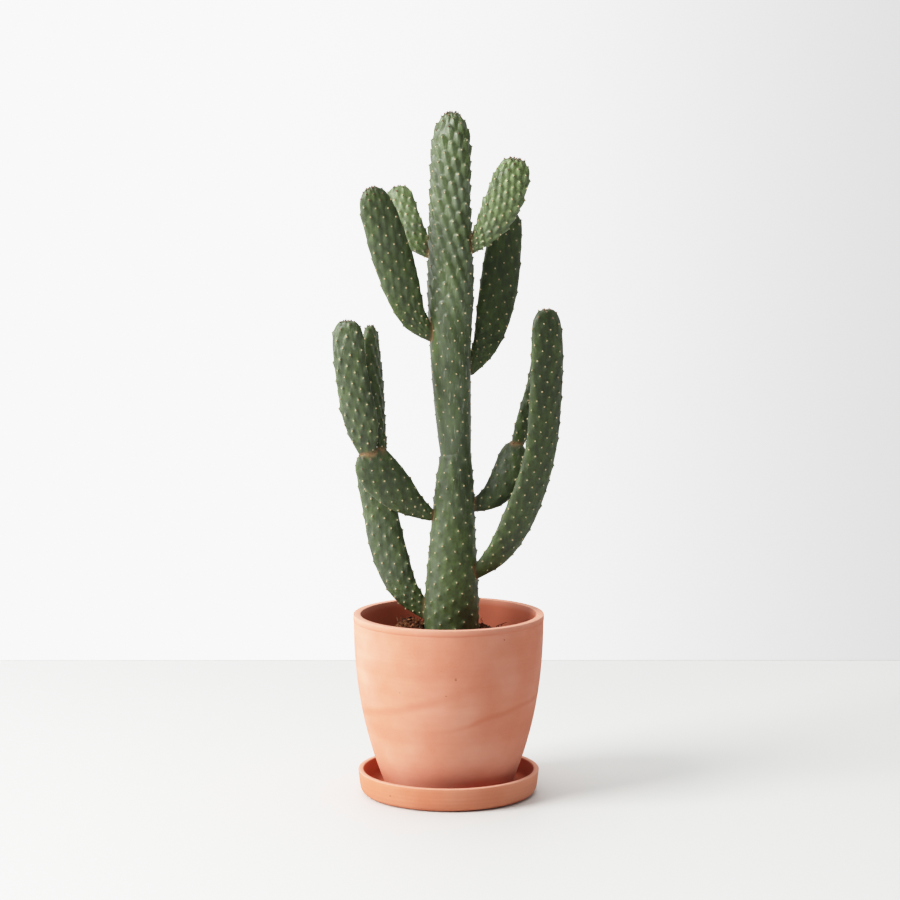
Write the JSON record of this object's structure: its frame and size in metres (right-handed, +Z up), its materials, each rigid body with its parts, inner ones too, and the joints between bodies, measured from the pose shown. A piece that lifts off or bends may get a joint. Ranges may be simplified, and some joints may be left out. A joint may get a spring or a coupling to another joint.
{
  "type": "potted paddle cactus",
  "caption": "Jointed paddle cactus with a tubercled trunk and flat side pads, planted in a plain terracotta pot on a round saucer.",
  "frame": {"origin": "middle of the saucer's flat underside, on the floor", "axes": "+Z up along the trunk, -Y towards the viewer of the picture, +X to the viewer's right"},
  "size_m": [0.2385, 0.2, 0.714],
  "materials": {
    "saucer": "unglazed terracotta, matte",
    "pot": "unglazed terracotta, matte and slightly chalky",
    "soil": "coarse potting soil with bark",
    "skin": "waxy green stem skin",
    "young_skin": "waxy light green stem skin",
    "areoles": "woolly cream cushions with short bristles"
  },
  "bodies": {
    "root": {"saucer": "saucer", "pot": "pot", "soil": "soil", "trunk_lower": "skin", "trunk_upper": "skin", "pad_upper_left": "skin", "pad_upper_left_back": "young_skin", "pad_upper_right": "young_skin", "pad_upper_right_back": "skin", "pad_mid_left": "skin", "pad_mid_left_front": "skin", "pad_mid_left_back": "skin", "pad_lower_left": "skin", "pad_lower_right": "skin", "pad_mid_right": "skin", "pad_mid_right_back": "skin"}
  },
  "joints": []
}
